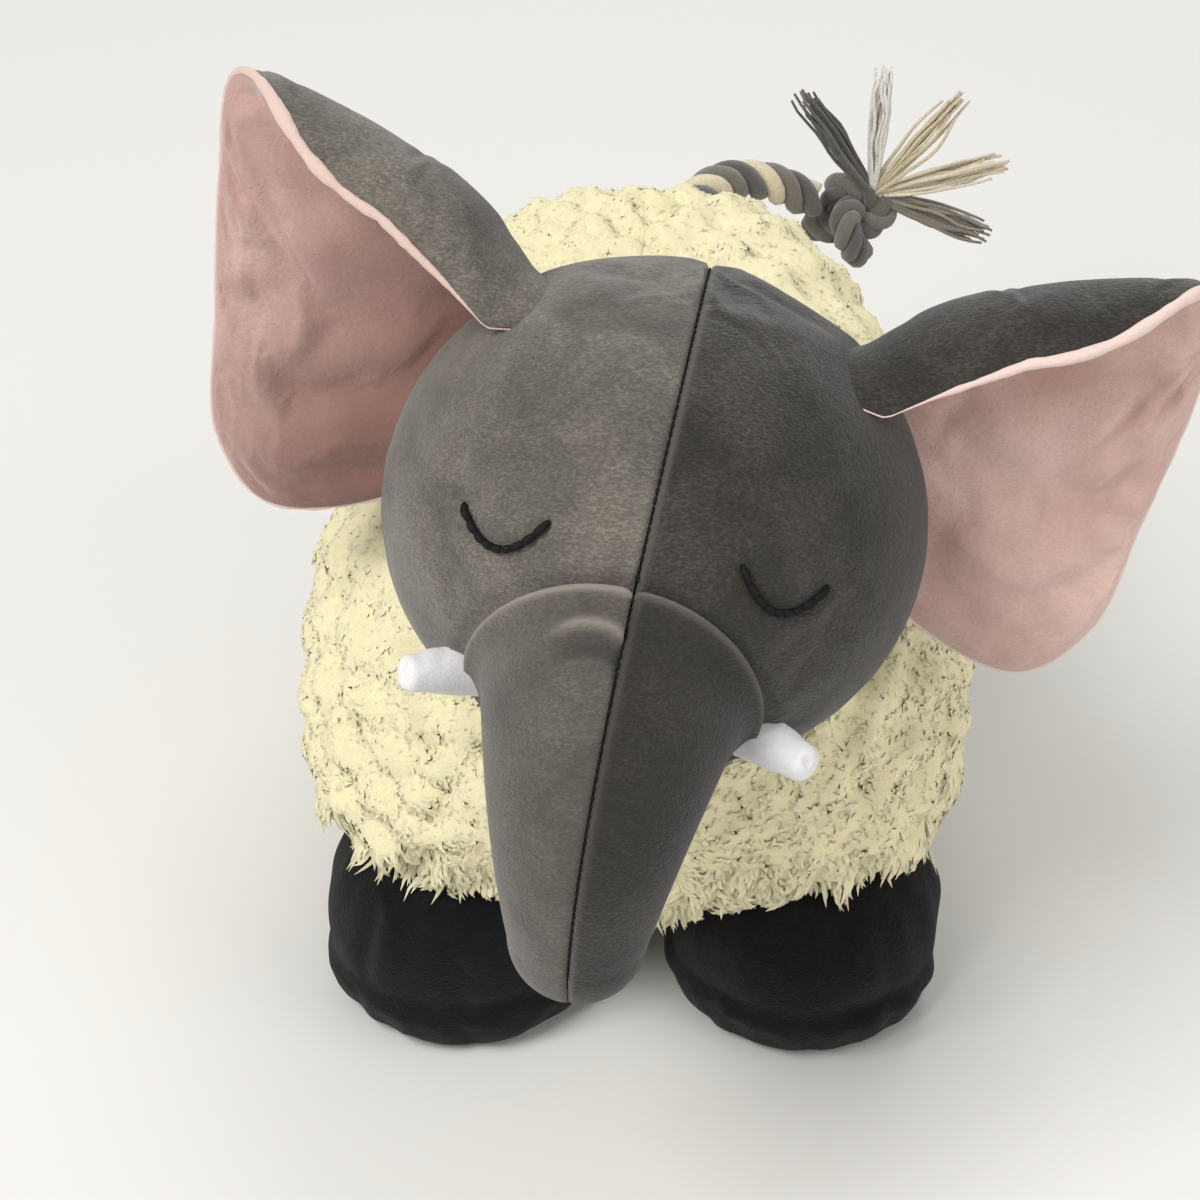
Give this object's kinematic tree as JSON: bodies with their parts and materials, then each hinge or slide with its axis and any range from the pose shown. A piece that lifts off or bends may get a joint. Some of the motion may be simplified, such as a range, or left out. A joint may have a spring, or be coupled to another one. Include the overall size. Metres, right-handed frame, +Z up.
{
  "type": "plush elephant dog toy",
  "caption": "Stuffed elephant pet toy with a curly sherpa body, stub legs, a turning head with a stuffed trunk, lined ears and felt tusks, an inner squeaker and a knotted rope tail.",
  "frame": {"origin": "on the floor, under the middle of the box round the toy without its tail", "axes": "+Z up, the toy faces -Y, +X is the toy's own left side"},
  "size_m": [0.2736, 0.4565, 0.3105],
  "materials": {
    "sherpa_fleece": "curly cream sherpa pile",
    "grey_plush": "short warm-grey pile with a soft sheen",
    "black_plush": "short black pile",
    "pink_velour": "dusty-pink velour with a silky nap",
    "white_felt": "white brushed felt",
    "black_thread": "thick black embroidery thread",
    "fibre_fill": "loose white polyester fibre",
    "squeaker_plastic": "blow-moulded, translucent white",
    "grey_rope": "twisted cotton rope, dark grey",
    "cream_rope": "frayed cotton strands, cream and white"
  },
  "bodies": {
    "body": {"body_cover_left": "sherpa_fleece", "body_cover_right": "sherpa_fleece", "belly_panel": "sherpa_fleece", "body_stuffing_front": "fibre_fill", "body_stuffing_rear": "fibre_fill", "squeaker_bulb": "squeaker_plastic", "squeaker_reed": "squeaker_plastic", "tail_rope": "grey_rope", "tail_knot": "grey_rope", "tail_tassel": "cream_rope"},
    "neck": {"neck_stuffing": "fibre_fill"},
    "head": {"head_cover_left": "grey_plush", "head_cover_right": "grey_plush", "head_stuffing": "fibre_fill", "tusk_left": "white_felt", "tusk_right": "white_felt", "eye_stitch_left": "black_thread", "eye_stitch_right": "black_thread"},
    "trunk": {"trunk_cover_left": "grey_plush", "trunk_cover_right": "grey_plush", "trunk_stuffing": "fibre_fill"},
    "ear_left": {"ear_back_left": "grey_plush", "ear_lining_left": "pink_velour", "ear_wadding_left": "fibre_fill"},
    "ear_right": {"ear_back_right": "grey_plush", "ear_lining_right": "pink_velour", "ear_wadding_right": "fibre_fill"},
    "leg_front_left": {"leg_cover_front_left": "black_plush", "leg_sole_front_left": "black_plush", "leg_stuffing_front_left": "fibre_fill"},
    "leg_front_right": {"leg_cover_front_right": "black_plush", "leg_sole_front_right": "black_plush", "leg_stuffing_front_right": "fibre_fill"},
    "leg_rear_left": {"leg_cover_rear_left": "black_plush", "leg_sole_rear_left": "black_plush", "leg_stuffing_rear_left": "fibre_fill"},
    "leg_rear_right": {"leg_cover_rear_right": "black_plush", "leg_sole_rear_right": "black_plush", "leg_stuffing_rear_right": "fibre_fill"}
  },
  "joints": [
    {"name": "neck_twist", "type": "hinge", "parent": "body", "child": "neck", "pos_m": [-0.01094, -0.07997, 0.204], "axis": [0, -0.8192, 0.5736], "range_deg": [-13, 37], "stiffness_Nm_per_rad": 2},
    {"name": "head_nod", "type": "hinge", "parent": "neck", "child": "head", "pos_m": [-0.01094, -0.07997, 0.204], "axis": [0.9781, -0.1193, -0.1703], "range_deg": [-15, 12], "stiffness_Nm_per_rad": 3},
    {"name": "trunk_lift", "type": "hinge", "parent": "head", "child": "trunk", "pos_m": [-0.0186, -0.11951, 0.18766], "axis": [-0.9781, 0.1193, 0.1703], "range_deg": [0, 24], "stiffness_Nm_per_rad": 0.8},
    {"name": "ear_flap_left", "type": "hinge", "parent": "head", "child": "ear_left", "pos_m": [0.05377, -0.07168, 0.19899], "axis": [-0.2085, 0.0352, 0.9774], "range_deg": [-25, 25], "stiffness_Nm_per_rad": 0.3},
    {"name": "ear_flap_right", "type": "hinge", "parent": "head", "child": "ear_right", "pos_m": [-0.06978, -0.05662, 0.2205], "axis": [0.5243, -0.0542, 0.8498], "range_deg": [-25, 25], "stiffness_Nm_per_rad": 0.3},
    {"name": "leg_swing_front_left", "type": "hinge", "parent": "body", "child": "leg_front_left", "pos_m": [0.03706, -0.04497, 0.03], "axis": [1, 0, 0], "range_deg": [-12, 12], "stiffness_Nm_per_rad": 4},
    {"name": "leg_swing_front_right", "type": "hinge", "parent": "body", "child": "leg_front_right", "pos_m": [-0.07094, -0.04497, 0.03], "axis": [1, 0, 0], "range_deg": [-12, 12], "stiffness_Nm_per_rad": 4},
    {"name": "leg_swing_rear_left", "type": "hinge", "parent": "body", "child": "leg_rear_left", "pos_m": [0.03706, 0.13303, 0.03], "axis": [1, 0, 0], "range_deg": [-12, 12], "stiffness_Nm_per_rad": 4},
    {"name": "leg_swing_rear_right", "type": "hinge", "parent": "body", "child": "leg_rear_right", "pos_m": [-0.07094, 0.13303, 0.03], "axis": [1, 0, 0], "range_deg": [-12, 12], "stiffness_Nm_per_rad": 4}
  ]
}
